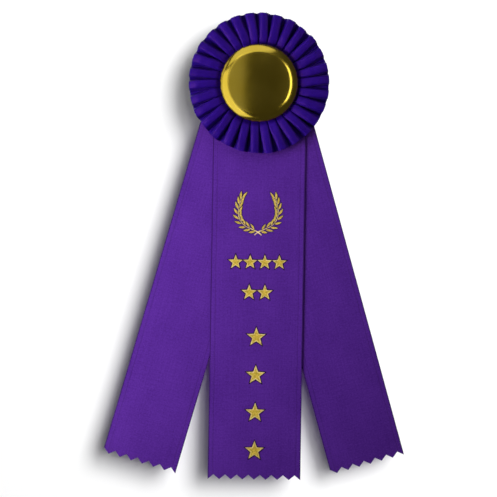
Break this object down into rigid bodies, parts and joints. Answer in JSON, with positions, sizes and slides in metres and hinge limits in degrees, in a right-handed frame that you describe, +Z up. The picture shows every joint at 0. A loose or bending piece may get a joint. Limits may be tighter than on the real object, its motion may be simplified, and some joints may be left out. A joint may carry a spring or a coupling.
{
  "type": "award ribbon",
  "caption": "Rosette award ribbon: gilt button in a pleated ribbon ruffle, hanging satin streamers with gold stamping, and a bar pin on the back.",
  "frame": {"origin": "on the axis of the pin's needle, in the middle of its even shaft, straight behind the rosette's middle line and 8 mm above the rosette's centre", "axes": "+Z up as it hangs, the front faces -Y, +X to the viewer's right; the needle points along -X"},
  "size_m": [0.1646, 0.0185, 0.2562],
  "materials": {
    "gilt_foil": "polished gilt foil",
    "tinplate": "bright tinplate",
    "hot_melt": "cloudy hot-melt glue",
    "ruffle_satin": "pleated satin ribbon",
    "thread": "twisted sewing thread",
    "grey_card": "plain grey board",
    "streamer_satin": "flat satin ribbon, heat-cut pinked ends",
    "staple_wire": "galvanised wire",
    "back_card": "white-faced board",
    "stamping_foil": "hot-stamped gold foil",
    "foam_tape": "closed-cell foam tape",
    "pin_metal": "nickel plate"
  },
  "bodies": {
    "rosette": {"button_foil_cover": "gilt_foil", "button_shell": "tinplate", "button_back_plate": "tinplate", "button_glue_pad": "hot_melt", "pleated_ruffle": "ruffle_satin", "ruffle_stitching": "thread", "front_card_disc": "grey_card", "centre_streamer_tab": "streamer_satin", "left_streamer_tab": "streamer_satin", "right_streamer_tab": "streamer_satin", "streamer_staples": "staple_wire", "back_glue_layer": "hot_melt", "back_card_disc": "back_card", "pin_foam_pad": "foam_tape", "pin_base": "pin_metal", "pin_hinge_rivet": "pin_metal", "pin_catch": "pin_metal"},
    "needle": {"pin_needle": "pin_metal"},
    "safety_sleeve": {"pin_catch_sleeve": "pin_metal"},
    "centre_tail": {"centre_streamer_tail": "streamer_satin", "foil_wreath": "stamping_foil", "foil_star_row_upper": "stamping_foil", "foil_star_row_lower": "stamping_foil", "foil_star_column": "stamping_foil"},
    "left_tail": {"left_streamer_tail": "streamer_satin"},
    "right_tail": {"right_streamer_tail": "streamer_satin"}
  },
  "joints": [
    {"name": "needle_hinge", "type": "hinge", "parent": "rosette", "child": "needle", "pos_m": [0.014, 0, 0], "axis": [0, 0, -1], "range_deg": [0, 60]},
    {"name": "catch_turn", "type": "hinge", "parent": "rosette", "child": "safety_sleeve", "pos_m": [-0.0133, 0, 0], "axis": [-1, 0, 0], "range_deg": [0, 120]},
    {"name": "centre_streamer_lift", "type": "hinge", "parent": "rosette", "child": "centre_tail", "pos_m": [0, -0.00583, -0.0483], "axis": [-1, 0, 0], "range_deg": [0, 75]},
    {"name": "left_streamer_lift", "type": "hinge", "parent": "rosette", "child": "left_tail", "pos_m": [0, -0.00537, -0.0483], "axis": [-1, 0, 0], "range_deg": [0, 60]},
    {"name": "right_streamer_lift", "type": "hinge", "parent": "rosette", "child": "right_tail", "pos_m": [0, -0.00492, -0.0483], "axis": [-1, 0, 0], "range_deg": [0, 48.75]}
  ],
  "couplings": [
    {"joint": "left_streamer_lift", "follows": "centre_streamer_lift", "ratio": 0.8},
    {"joint": "right_streamer_lift", "follows": "centre_streamer_lift", "ratio": 0.65}
  ]
}
